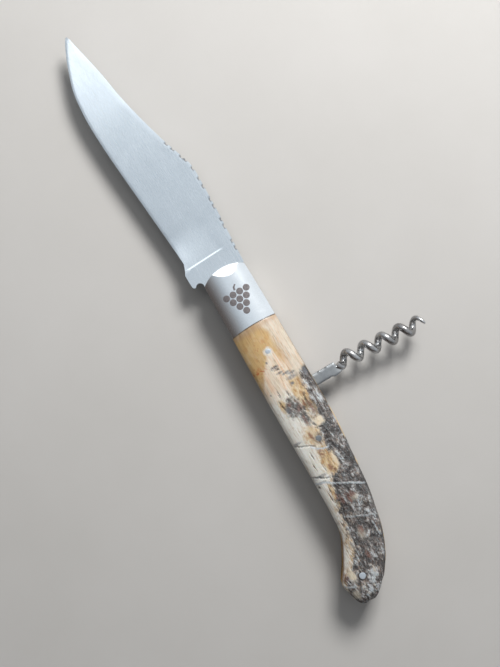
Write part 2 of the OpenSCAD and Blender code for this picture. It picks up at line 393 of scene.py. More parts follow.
def brass(name):
    """Aged brass with fine lengthwise rolling marks."""
    m = Nodes(name)
    fine = m.noise(2200, (1, 0.2, 1), 4, 0.6)
    wide = m.noise(210, (1, 1, 1), 5, 0.6, 0.5)
    col = m.mix(m.range(wide, 0.3, 0.7, 0, 1), (0.36, 0.22, 0.09), (0.60, 0.41, 0.17))
    col = m.mix(m.range(fine, 0.35, 0.7, 0, 0.3), col, (0.22, 0.13, 0.07))
    m.set(Base_Color=col, Metallic=1.0, Roughness=m.range(fine, 0.3, 0.7, 0.24, 0.40),
          Normal=m.bump(fine, 0.3, 0.00002))
    return m.mat


liner_brass = brass("aged_liner_brass")


def horn(name, seed):
    """Polished horn with weathered bark; the vertex attributes tint and bark come with the mesh."""
    m = Nodes(name)
    tint = m.attribute("tint").outputs["Color"]
    bark = m.attribute("bark").outputs["Fac"]
    fibre = m.noise(2400, (1.1, 0.09, 0.5), 5, 0.65, 0.2, (seed, 0, 0))
    fleck = m.noise(2300, (1, 0.45, 1), 5, 0.7, 0.9, (0, seed, 0))
    crust = m.noise(800, (1, 0.38, 1), 6, 0.72, 1.5, (seed, 5, 0))
    cloud = m.noise(420, (1, 0.45, 1), 5, 0.6, 0.8, (0, 0, seed))
    dark = m.mix(1.0, tint, (0.50, 0.42, 0.36), "MULTIPLY")
    light = m.mix(0.3, tint, (0.93, 0.94, 0.93))
    col = m.mix(m.range(fibre, 0.36, 0.50, 0.42, 0.0), tint, dark)
    bare = m.math("SUBTRACT", 1.0, bark)
    col = m.mix(m.math("MULTIPLY", bare, m.range(cloud, 0.48, 0.68, 0.0, 0.4)), col, light)
    both = m.math("ADD", m.math("MULTIPLY", fleck, 0.45), m.math("MULTIPLY", crust, 0.55))
    rough_col = m.ramp(both, [(0.37, (0.010, 0.008, 0.007)), (0.445, (0.050, 0.042, 0.038)),
                              (0.50, (0.125, 0.112, 0.105)), (0.56, (0.28, 0.28, 0.28)),
                              (0.66, (0.55, 0.58, 0.60))])
    col = m.mix(m.math("MULTIPLY", bark, 0.24), col, rough_col)
    height = m.math("ADD", m.math("MULTIPLY", fibre, 0.4),
                    m.math("MULTIPLY", m.math("MULTIPLY", both, bark), 2.2))
    m.set(Base_Color=col,
          Roughness=m.math("ADD", m.range(bark, 0, 1, 0.30, 0.44), m.range(cloud, 0.3, 0.7, -0.04, 0.08)),
          Normal=m.bump(height, 0.6, 0.00016))
    m.set(Coat_Weight=0.18, Coat_Roughness=0.18, Subsurface_Weight=0.06, Subsurface_Scale=0.001)
    return m.mat


def enamel(name):
    """Dull dark fill of the mark."""
    m = Nodes(name)
    n = m.noise(1800, (1, 1, 1), 5, 0.65, 0.2)
    w = m.noise(500, (1, 1, 1), 3, 0.5, 0.2, (2, 4, 6))
    col = m.mix(m.range(n, 0.35, 0.65, 0, 1), (0.135, 0.125, 0.130), (0.215, 0.20, 0.205))
    m.set(Base_Color=col, Metallic=0.0, Roughness=m.range(w, 0.3, 0.7, 0.70, 0.84),
          Normal=m.bump(n, 0.3, 0.00003))
    m.set(Specular_IOR_Level=0.12)
    return m.mat


etched = enamel("etched_dark_fill")


# ---- horn scales
GX, GY = 3.1, -1.0     # offset of the horn's marks from the row frame, mm
SPREAD = 1.011         # the skin is nearer to the camera than the mid plane, so marks look further apart


def spot(x, y, cx, cy, rx, ry, lean=0.0, soft=0.35, seed=1):
    """1 inside a soft irregular ellipse about (cx, cy)."""
    c, s = math.cos(math.radians(lean)), math.sin(math.radians(lean))
    u = ((x - cx) * c + (y - cy) * s) / rx
    v = (-(x - cx) * s + (y - cy) * c) / ry
    d = np.hypot(u, v) + 0.30 * fbm(x * 1.7, y * 1.3, seed, 3) + 0.26 * fbm(x * 5.0, y * 1.4, seed + 2, 3)
    return 1 - smooth(1 - soft, 1 + soft, d)


def line_mark(x, y, pts, width, seed=3):
    """1 on a wavy line through pts."""
    best = np.full(x.shape, 1e9)
    xx = x + 0.25 * fbm(x * 0.9, y * 0.9, seed, 3)
    yy = y + 0.35 * fbm(x * 0.9, y * 0.9, seed + 5, 3)
    for (x1, y1), (x2, y2) in zip(pts[:-1], pts[1:]):
        dx, dy = x2 - x1, y2 - y1
        t = np.clip(((xx - x1) * dx + (yy - y1) * dy) / (dx * dx + dy * dy), 0, 1)
        best = np.minimum(best, np.hypot(xx - x1 - t * dx, yy - y1 - t * dy))
    return 1 - smooth(width * 0.45, width, best)


def spots(x, y, table):
    """The strongest of several spots; a row is a strength and then what spot() takes."""
    best = np.zeros(x.shape)
    for strength, *shape in table:
        best = np.maximum(best, strength * spot(x, y, *shape))
    return best


def line_marks(x, y, table):
    """The strongest of several lines; a row is a strength, a width and the points."""
    best = np.zeros(x.shape)
    for strength, width, pts in table:
        best = np.maximum(best, strength * line_mark(x, y, pts, width))
    return best


# where the bark begins: y, x
BARK_EDGE = [[-29, 7.4], [-31, 5.2], [-34, 4.3], [-38, 4.0], [-43, 3.6], [-46, 3.4], [-49, 2.6],
             [-51, 1.0], [-53, 0.9], [-55, 0.4], [-57, 0.0], [-60, 0.9], [-64, 0.6],
             [-66, -2.0], [-68, -4.6], [-71, -5.0], [-74, -5.8], [-77, -6.8], [-80, -7.7],
             [-84, -8.0], [-88, -9.2], [-92, -10.2], [-95, -12.2], [-98, -16.5], [-104, -19],
             [-109, -20]]
# spots on the horn: x, y, half width, half length, and for the pits their lean in degrees
RED_STAINS = ((-2.5, -51.2, 0.6, 1.5), (-2.5, -57.8, 0.8, 1.7), (-2.0, -63.4, 0.9, 1.5),
              (-1.5, -61.3, 0.35, 1.0), (-1.2, -45.4, 0.6, 1.8), (-0.9, -41.4, 1.3, 1.2),
              (-3.3, -38.6, 0.7, 0.8), (2.7, -42.8, 0.45, 2.2), (1.2, -40.4, 0.35, 1.4),
              (-4.4, -74.6, 0.6, 1.5), (-2.1, -75.4, 0.6, 1.8), (-0.7, -74.6, 0.9, 1.2),
              (-5.6, -72.4, 0.35, 1.6),
              (-4.2, -86.4, 0.8, 1.4), (-6.4, -94.8, 0.7, 1.4), (-17.0, -98.2, 0.9, 1.2))
DARK_PITS = ((5.3, -32.3, 0.5, 1.5, -10), (6.5, -34.8, 0.65, 2.8, 8), (5.0, -39.0, 0.4, 1.4, 0),
             (2.8, -59.6, 0.5, 1.9, 16), (4.2, -63.8, 0.75, 2.2, 18), (1.6, -54.4, 0.7, 0.6, 0),
             (3.6, -55.6, 0.7, 0.5, 0), (2.4, -52.2, 0.5, 0.9, 0), (-3.6, -69.9, 1.3, 0.9, -18),
             (-0.9, -72.0, 1.0, 1.1, 0), (2.6, -76.4, 1.2, 1.0, 0), (1.0, -78.4, 0.8, 1.5, 0),
             (4.2, -73.0, 0.5, 1.8, 0), (1.8, -80.6, 1.5, 0.6, 0), (-7.0, -81.4, 0.6, 1.2, 0),
             (-2.0, -85.2, 0.8, 1.9, 14), (-0.6, -87.6, 1.1, 0.6, 0), (-2.4, -90.8, 0.9, 0.9, 0),
             (0.2, -91.6, 0.7, 1.0, 0), (2.6, -83.0, 0.6, 1.2, 0), (-5.4, -98.6, 1.1, 1.4, 30),
             (-17.4, -99.2, 0.8, 1.0, 0), (-14.1, -102.8, 0.3, 1.8, -22), (-9.0, -93.6, 0.35, 1.7, 0),
             (-11.0, -98.0, 0.3, 0.9, 0), (0.3, -42.2, 0.5, 0.8, 0), (-0.5, -26.6, 1.2, 0.35, -6),
             (-1.4, -25.4, 0.7, 0.3, 0), (-5.7, -57.4, 0.11, 1.2, 0), (-6.9, -60.8, 0.1, 1.4, 4),
             (-8.9, -67.6, 0.35, 0.5, 0), (-4.2, -62.6, 0.16, 1.5, 0),
             (3.6, -67.4, 0.9, 0.5, 0), (1.4, -67.8, 0.7, 0.4, 0), (-16.6, -95.2, 0.35, 1.6, -32),
             (6.4, -48, 0.3, 2.0, 0), (5.2, -45, 0.25, 1.8, 0), (-4.7, -34.2, 0.28, 1.1, 0),
             (-5.7, -37.6, 0.25, 1.4, 6), (-1.8, -35.2, 0.35, 0.8, 0), (-3.0, -37.4, 0.5, 0.8, 0),
             (-2.4, -40.2, 0.5, 1.4, 20), (-0.6, -43.2, 0.4, 1.8, 12), (2.2, -39.4, 0.3, 1.6, 0),
             (0.4, -48.2, 0.35, 1.2, 20), (1.9, -50.2, 1.3, 0.3, -20), (-7.4, -72.2, 0.16, 1.5, 0),
             (-6.4, -70.0, 0.16, 1.0, 0), (-8.8, -83.0, 0.15, 1.8, 4))
COOL_FLECKS = ((-1.3, -25.6, 1.4, 0.5), (-0.6, -27.9, 1.3, 0.35), (1.3, -28.9, 1.4, 0.45),
               (2.6, -29.7, 1.4, 0.45), (2.3, -31.0, 1.7, 0.8), (-2.7, -22.9, 0.35, 0.4),
               (1.2, -33.0, 0.7, 0.6), (6.9, -31.6, 0.7, 1.6), (-7.1, -33.0, 0.3, 0.3),
               (-6.9, -64.6, 2.1, 0.6), (-8.0, -51.4, 1.3, 0.5), (-4.6, -40.0, 0.8, 1.2),
               (-7.6, -66.6, 1.6, 0.4))
# strength and what spot() takes
AMBER = ((1, -1.5, -61.5, 2.6, 5.2, 0, 0.45, 7), (1, -5.4, -38.2, 1.1, 2.3, 0, 0.5, 8),
         (0.8, -5.6, -73.5, 1.0, 5.0, 0, 0.5, 9), (0.8, -1.6, -51.4, 3.0, 3.6, 0, 0.5, 10),
         (0.7, -11.0, -94.6, 1.2, 3.4, -18, 0.5, 11))
BARK_PATCHES = ((1, -2.3, -40.4, 2.9, 3.4, -20, 0.4, 15), (1, -1.1, -44.4, 1.4, 3.2, 8, 0.4, 16),
                (0.75, 2.4, -43.4, 1.8, 3.8, 0, 0.5, 13), (0.7, -0.6, -53.3, 1.9, 1.7, 0, 0.5, 24))
PALE_PATCHES = ((1, 2.7, -48.2, 1.6, 1.5, 0, 0.35, 12), (1, 0.5, -62.2, 0.7, 2.4, 5, 0.4, 14),
                (1, -14.7, -98.4, 1.2, 2.3, 6, 0.4, 17), (0.6, -0.6, -75.8, 1.4, 1.0, 0, 0.6, 25),
                (0.55, -4.6, -87.6, 1.3, 1.8, 0, 0.6, 26), (0.7, -16.6, -104.6, 1.1, 1.8, 0, 0.5, 18))
# strength, width and points
CRACKS = ((1, 0.42, [(-9.4, -51.6), (-7.0, -52.8), (-4.4, -54.0), (-3.2, -55.0)]),
          (1, 0.40, [(-9.6, -63.6), (-7.0, -64.8), (-4.6, -66.2)]))
RIDGES = ((1, 0.40, [(-4.4, -54.6), (-2.6, -56.0), (-1.0, -56.9), (0.8, -57.0)]),
          (1, 0.45, [(-9.2, -66.0), (-6, -67.2), (-3.6, -68.7), (0, -70.8), (2.6, -72.4), (4.9, -73.9)]),
          (0.6, 0.45, [(-6, -80.4), (-3, -82), (0.5, -83.6), (2.6, -84.6)]),
          (0.8, 0.35, [(0.5, -86), (0.4, -91)]),
          (0.8, 0.5, [(-18.6, -100.6), (-16.4, -101.8)]))
# tone of the bark from dark to light
BARK_TONES = ((0.0, "120D0B"), (0.2, "2B211D"), (0.4, "554942"), (0.6, "7E7671"), (0.8, "A09F9F"),
              (1.0, "C0C6CA"))


def over(base, hexcol, mask):
    """The colours of base with another colour laid over them as far as mask says."""
    m = mask[..., None]
    return base * (1 - m) + srgb(hexcol) * m


def veins(x, y, seed, width):
    """Thin branching lines, 1 on the line."""
    wx = x + 0.5 * fbm(x * 0.8, y * 0.6, seed + 1, 3)
    wy = y + 0.7 * fbm(x * 0.7, y * 0.7, seed + 2, 3)
    return 1 - smooth(width * 0.4, width, np.abs(fbm(wx, wy, seed, 4)))


def paint(x, y, flip):
    """Colour, bark mask and relief of the horn at row-frame points, mm. flip varies the lower scale."""
    gx = (x - 0.8) * SPREAD + 0.8 - GX
    gy = (y + 12.6) * SPREAD - 12.6 - GY
    sd = 40 if flip else 0
    col = np.empty(x.shape + (3,))
    col[:] = srgb("DEDCD4")

    def field(across, length, seed, octaves):
        return fbm(gx * across, gy * length, seed + sd, octaves)

    def lay(hexcol, mask, amount):
        col[:] = over(col, hexcol, np.clip(mask * amount, 0, 1))

    wob = field(0.5, 0.22, 11, 4)

    # cream ground with lengthwise lines, peach towards the bolster
    lines = fbm(gx * 2.6 + wob, gy * 0.12, 5 + sd, 4)
    front = smooth(-38, -31, gy)
    lay("DCC8AE", front * (0.75 + 0.25 * lines), 0.85)
    lay("DDB491", smooth(-0.1, 0.5, lines) * front, 0.62)
    lay("CDB79A", smooth(0.1, 0.6, -lines) * front, 0.55)
    lay("E6DDCB", smooth(0.0, 0.5, field(0.8, 0.3, 9, 4)) * smooth(1, 4, gx) * front, 0.5)
    lay("C3B194", smooth(0.2, 0.6, -lines) * (1 - front), 0.5)
    cold = smooth(-0.1, 0.5, field(0.7, 0.3, 19, 4))
    lay("EBECE8", cold * (1 - front) * smooth(-3, -5, gx), 0.7)
    fibres = field(5.5, 0.25, 29, 4)
    lay("A88A66", smooth(0.25, 0.5, fibres), 0.55)
    # honey part towards the bolster with a pale wedge that opens below the front pin
    left = gy + 19.2 - (gx + 0.6) * 11.6 / 8.0 + 1.3 * wob
    honey = 1 - smooth(1.8, 4.6, gx + 0.9 * wob + 2.4 * smooth(-15, -10, gy))
    honey = honey * smooth(-27, -22, gy + 0.8 * wob)
    wedge = smooth(-19.0, -20.6, gy) * smooth(1.0, -1.0, left)
    wedge = wedge * (1 - smooth(0.4, 1.6, gx - 0.16 * (-19 - gy) + 0.5 * wob))
    corner = smooth(-1.2, 1.2, left) * (1 - smooth(-1.5, 0.0, gx))
    honey = np.maximum(honey * (1 - wedge), corner)
    lay("BE9E6A", honey, 0.94)
    lay("B98A55", honey * smooth(0.0, 0.6, field(0.6, 0.5, 21, 3)), 0.7)
    lay("CDB37C", honey * smooth(0.1, 0.6, -lines), 0.5)
    lay("A78B6C", smooth(-13.0, -10.6, gy) * (1 - smooth(-1, 5, gx)), 0.85)
    lay("C9A98A", smooth(-12.4, -10.6, gy) * smooth(-1, 5, gx), 0.7)
    lay("A9552F", smooth(0.15, 0.5, field(1.9, 1.9, 31, 2))
        * np.maximum(spot(gx, gy, -6.4, -24.6, 2.4, 1.7), spot(gx, gy, -3.3, -17.4, 0.8, 1.8)), 0.8)
    lay("DAD6CE", spot(gx, gy, -0.3, -19.8, 1.5, 1.4, 0, 0.4, 6), 0.9)
    # amber in the middle and along the bark
    amber = smooth(-30.5, -32.5, gy) * (1 - smooth(-44, -49, gy)) * smooth(-0.6, 1.0, gx + 0.8 * wob) \
        * (1 - smooth(3.8, 4.8, gx))
    amber = np.maximum(amber, spots(gx, gy, AMBER))
    lay("C4A56E", amber, 0.8)
    lay("A57A4C", amber * smooth(0.0, 0.45, field(1.4, 0.7, 23, 3)), 0.75)
    lay("DCCDB0", amber * smooth(0.1, 0.5, field(1.2, 0.5, 27, 3)), 0.6)

    # bark: dark, rough part, widening from the back edge
    edge = along(np.array(BARK_EDGE)[::-1], gy, 1)
    inner = gx - edge + 1.5 * field(0.8, 0.5, 51, 4) + 0.9 * field(3.5, 1.0, 52, 3)
    fringe = np.exp(-((inner + 0.8) / 1.1) ** 2) * (1 - front)
    lay("B08E5E", fringe * smooth(-0.4, 0.2, field(2.5, 0.8, 53, 3)), 0.75)
    lay("5B4636", fringe * smooth(0.1, 0.35, field(3.5, 0.9, 55, 3)), 0.8)
    bark = smooth(-0.7, 0.8, inner)
    bark = bark * smooth(-29.0, -30.8, gy + 0.5 * wob - 0.35 * (gx - 7))
    bark = np.maximum(bark, 0.85 * spots(gx, gy, BARK_PATCHES))
    pale = spots(gx, gy, PALE_PATCHES)
    bark = bark * (1 - 0.85 * pale)
    lay("DACBB0", pale, 0.75)

    streak = fbm(gx * 1.3 + 1.2 * field(0.5, 0.4, 3, 3), gy * 0.55, 61 + sd, 5)
    blotch = field(0.42, 0.26, 71, 4)
    grain = field(3.0, 2.0, 81, 3)
    stripes = fbm(gx * 2.6 + 0.4 * wob, gy * 0.22, 65 + sd, 4)
    right = smooth(0.5, 5.5, gx + 0.05 * (gy + 60)) * smooth(-50, -60, gy) * (1 - smooth(-94, -100, gy))
    column = smooth(4.0, 5.0, gx) * smooth(-52, -47, gy)
    butt = smooth(-94, -99, gy)
    tone = 0.36 + (1.25 * streak) * (1 - column) + 1.05 * stripes * column + 0.85 * blotch + 0.40 * grain
    tone = tone - 0.28 * right + 0.08 * column + 0.14 * butt
    levels = [level for level, _ in BARK_TONES]
    tones = np.array([srgb(shade) for _, shade in BARK_TONES])
    bcol = np.stack([np.interp(np.clip(tone, 0, 1), levels, tones[:, k]) for k in range(3)], -1)
    warm = smooth(0.1, 0.5, field(0.7, 0.4, 91, 3)) * (0.55 - 0.3 * column)
    bcol = bcol * (1 + warm[..., None] * np.array([0.25, -0.02, -0.28]))
    pale_vein = veins(gx * 0.8, gy * 0.5, 131 + sd, 0.045) * (0.6 + 0.3 * right)
    curls = veins(gx * 1.7 + 3, gy * 1.1, 151 + sd, 0.05) * (0.3 + 0.6 * right)
    dark_vein = veins(gx * 0.9 + 7, gy * 0.45, 141 + sd, 0.10)
    bcol = over(bcol, "A9B0B4", 0.85 * pale_vein)
    bcol = over(bcol, "989FA4", 0.75 * curls)
    bcol = over(bcol, "1B1513", 0.8 * dark_vein)
    b = bark[..., None]
    col[:] = col * (1 - b) + bcol * b

    for cx, cy, rx, ry in RED_STAINS:
        lay("6E3A24", spot(gx, gy, cx, cy, rx, ry, 0, 0.5, 101) * smooth(-0.35, 0.4, grain + 0.3), 0.75)
    dark = np.zeros(x.shape)
    for cx, cy, rx, ry, lean in DARK_PITS:
        dark = np.maximum(dark, spot(gx, gy, cx, cy, rx * 1.15, ry * 1.15, lean, 0.5, 111 + sd))
    dark = dark * smooth(-0.45, 0.15, field(4.5, 1.2, 115, 3))
    lay("1C1614", dark, 0.85)
    cool = np.zeros(x.shape)
    for cx, cy, rx, ry in COOL_FLECKS:
        cool = np.maximum(cool, spot(gx, gy, cx, cy, rx, ry, 0, 0.5, 121 + sd))
    lay("5C6068", cool * (0.75 + 0.6 * grain), 0.9)

    # painted shade: the horn is darkened towards the back edge in front of the bark, where the key light
    # falls strongest
    col[:] = col * (1 - 0.24 * (smooth(1.5, 4.5, gx) * front * (1 - bark))[..., None])

    # slanting cracks: dark above, pale ridge along them
    crack = line_marks(gx, gy, CRACKS)
    ridge = line_marks(gx, gy, RIDGES)
    lay("6E6E6E", crack * smooth(-0.5, 0.2, grain), 0.7)
    lay("B9C2C8", ridge, 0.8)

    relief = bark * (0.12 * streak + 0.10 * blotch + 0.07 * grain - 0.09) - 0.16 * dark - 0.12 * crack \
        + 0.10 * ridge * bark - 0.05 * cool + 0.03 * wob \
        + bark * (0.06 * pale_vein - 0.08 * dark_vein)
    return col, bark, relief


def scale_piece(name, lower):
    """One horn scale: a domed grid of rows along y, close at the butt, and columns from side to side."""
    ys = np.concatenate([np.linspace(REAR, -104.5, 430), np.linspace(-104.75, -108.95, 34)])
    cols = 108
    us = -np.cos(np.linspace(0, math.pi, cols))
    us = 0.55 * us + 0.45 * np.linspace(-1, 1, cols)
    Y, U = np.meshgrid(ys, us, indexing="ij")
    rough_end = smooth(-84, -98, Y)
    xl = along(handle_curve, Y, 1) + 0.12 * rough_end * (1 + fbm(Y * 0.7, Y * 0 + 2, 5))
    xr = along(handle_curve, Y, 2) - 0.12 * rough_end * (1 + fbm(Y * 0.8, Y * 0 + 4, 6))
    # the lower scale stands out a little behind the upper one along the back
    proud = smooth(-12, -16, Y) * (0.12 + 0.16 * smooth(-44, -50, Y) * (1 - smooth(-60, -64, Y))
                                   + 0.18 * np.exp(-((Y + 67.5) / 1.8) ** 2))
    xr = xr + (proud if lower else -proud)
    X = (xl + xr) / 2 + U * (xr - xl) / 2
    arch = 0.62 * (1 - U ** 2) * smooth(-16, REAR, Y)
    Y2 = Y + arch - 0.02
    col, bark, relief = paint(X, Y2, lower)
    fac = along(handle_curve, Y, 3)
    d = np.clip((Y + 109.2) / 3.2, 0, 1)
    nose = np.sqrt(1 - (1 - d) ** 2)
    side = 1.15
    H = 4.16 * fac * (0.25 + 0.75 * nose)
    dome = side + (H - side) * np.power(np.clip(1 - np.abs(U) ** 2.15, 0, 1), 1 / 1.9)
    joined = smooth(-26, REAR, Y)
    dome = dome * (1 - joined) + (crown(U) - 0.02) * joined
    inner = smooth(0.0, 0.25, 1 - np.abs(U))
    # reddish side at the inner curve of the butt, a painted reflection of brown surroundings; painted shade
    # along the upper scale's right rim; cream edge of the lower scale at the back
    painted_wall_reflection = smooth(0.955, 0.995, -U) * smooth(-83, -86, Y) * (1 - smooth(-97, -100, Y))
    col = over(col, "74402E", 0.85 * painted_wall_reflection)
    if lower:
        rim = smooth(0.90, 0.97, U) * np.maximum(smooth(-46, -48, Y) * (1 - smooth(-58, -60, Y)),
                                                 np.exp(-((Y + 67.5) / 1.8) ** 2))
        col = over(col, "D6BE97", rim)
        bark = bark * (1 - rim)
    else:
        # painted shade darkens the upper scale's right rim towards the butt
        shade = 0.7 * smooth(0.84, 0.97, U) * smooth(-56, -62, Y)
        col = col * (1 - shade[..., None])
    # a fine dark seam where the horn meets the bolster
    seam = 1 - smooth(0.10, 0.52, REAR - Y)
    col = col * (1 - 0.80 * seam[..., None])
    # the relief stays below the flat that the knife lies on
    top = SCALE_Z + np.minimum(dome + relief * (0.35 + 0.65 * inner) * 1.25 - 0.10 * seam, 4.195)
    trough = np.interp(Y2, trough_curve[:, 1], trough_curve[:, 0])
    in_trough = (Y2 < -45.5) & (Y2 > -84.0) & (X > trough)
    low = np.where(in_trough, SCALE_Z + 0.6, SCALE_Z)
    T = np.stack([X, Y2, top], -1)
    B = np.stack([X, Y2, low], -1)
    if lower:
        turn_over(T, B)
    verts, faces = grid_solid(T, B)
    ob = link(name, verts, faces, horn(name + "_horn", 3.0 if lower else 0.0), "handle", 50)
    rgba = np.ones((2 * bark.size, 4))
    rgba[:, :3] = np.concatenate([col.reshape(-1, 3)] * 2)
    point_values(ob, "tint", rgba)
    point_values(ob, "bark", np.concatenate([bark.ravel()] * 2))
    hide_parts("scale_bottom" if lower else "scale_top")


# ---- bolsters
CROWN_H = 4.165        # height of the crown, which leaves room for the mark below the box's top, mm


def crown(u):
    """Height of the bolster's round skin at u, which runs from -1 to 1 across it."""
    side = 1.45
    return side + (CROWN_H - side) * (1 - np.abs(u) ** 2.35)


def bolster_height(x, y):
    """Heights of the bolster's skin and of its facet above the inner face, mm."""
    xl = along(bolster_curve, y, 1)
    xr = along(bolster_curve, y, 2)
    u = np.clip((2 * x - xl - xr) / (xr - xl), -1, 1)
    facet = CROWN_H - (y - FACET_Y) * FACET_SLOPE - (x - NOSE[0]) * FACET_LEAN
    return crown(u), facet


def bolster_piece(name, lower):
    """One bolster: rows over the crown up to the crease of the facet, then rows over the facet."""
    us = np.sin(np.linspace(-math.pi / 2, math.pi / 2, 71))
    us = 0.6 * us + 0.4 * np.linspace(-1, 1, 71)
    rows = []
    for part, count in ((0, 46), (1, 16)):
        for k in range(count):
            v = k / (count - 1)
            row = []
            for u in us:
                rear = REAR + 0.60 * (1 - u * u) + 0.03
                x0 = 3.45 + 7.7 * u
                front = NOSE[1] + math.sqrt(max(NOSE_R ** 2 - (x0 - NOSE[0]) ** 2, 0))
                lean = (x0 - NOSE[0]) * FACET_LEAN
                crease = min(FACET_Y + (CROWN_H - float(crown(u)) - lean) / FACET_SLOPE, front)
                yy = rear + (crease - rear) * v if part == 0 else crease + (front - crease) * v
                if part == 1 and front - crease < 1e-6:
                    yy = front
                xl = float(along(bolster_curve, yy, 1))
                xr = float(along(bolster_curve, yy, 2))
                x = (xl + xr) / 2 + u * (xr - xl) / 2
                dome, facet = bolster_height(np.array(x), np.array(yy))
                row.append((x, yy, SCALE_Z + min(float(dome), float(facet))))
            if part == 1 and k == 0:
                continue
            rows.append(row)
    T = np.array(rows)
    B = T.copy()
    B[..., 2] = SCALE_Z
    if lower:
        turn_over(T, B)
    verts, faces = grid_solid(T, B)
    ob = link(name, verts, faces, steel_bolster, "handle", 11, 0.004)
    bev = ob.modifiers.new("soft_edges", "BEVEL")
    bev.width = 0.00012
    bev.segments = 2
    bev.limit_method = "ANGLE"
    bev.angle_limit = math.radians(40)
    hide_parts("bolster_bottom" if lower else "bolster_top")


def grape_mark():
    """A generic bunch of round dots with a stem, filled dark, on the upper bolster."""
    cx, cy = 3.8, -1.2
    verts, faces = [], []

    def blob(ring, ctr):
        n = len(ring)
        top = len(verts)
        # rings from the middle outward: raised skin, then the rim that dips into the steel
        for part, lift in ((0.0, 0.03), (0.3, 0.03), (0.6, 0.03), (0.9, 0.026), (1.0, 0.0), (1.0, -0.12)):
            for px, py in (ring if part else [ctr]):
                x = ctr[0] + (px - ctr[0]) * part
                y = ctr[1] + (py - ctr[1]) * part
                dome, facet = bolster_height(np.array(x), np.array(y))
                verts.append((x, y, SCALE_Z + min(float(dome), float(facet)) + lift))
        for k in range(n):
            faces.append((top, top + 1 + k, top + 1 + (k + 1) % n))
        for step in range(4):
            for k in range(n):
                a = top + 1 + step * n + k
                b = top + 1 + step * n + (k + 1) % n
                faces.append((a, a + n, b + n, b))
        faces.append(tuple(top + 1 + 4 * n + k for k in range(n - 1, -1, -1)))

    for line, count in enumerate((4, 3, 2, 1)):
        for k in range(count):
            x, y = cx + (k - (count - 1) / 2) * 2.5, cy + 2.3 - line * 2.2
            blob(arc(x, y, 1.16, 0, 345, 23), (x, y))
    stem = [(cx - 0.35, cy + 3.35), (cx - 0.1, cy + 4.5), (cx + 0.9, cy + 5.3), (cx + 1.25, cy + 4.9),
            (cx + 0.5, cy + 4.3), (cx + 0.35, cy + 3.35)]
    blob(stem, (cx + 0.1, cy + 4.1))
    link("bolster_mark", verts, faces, etched, "handle", 30)


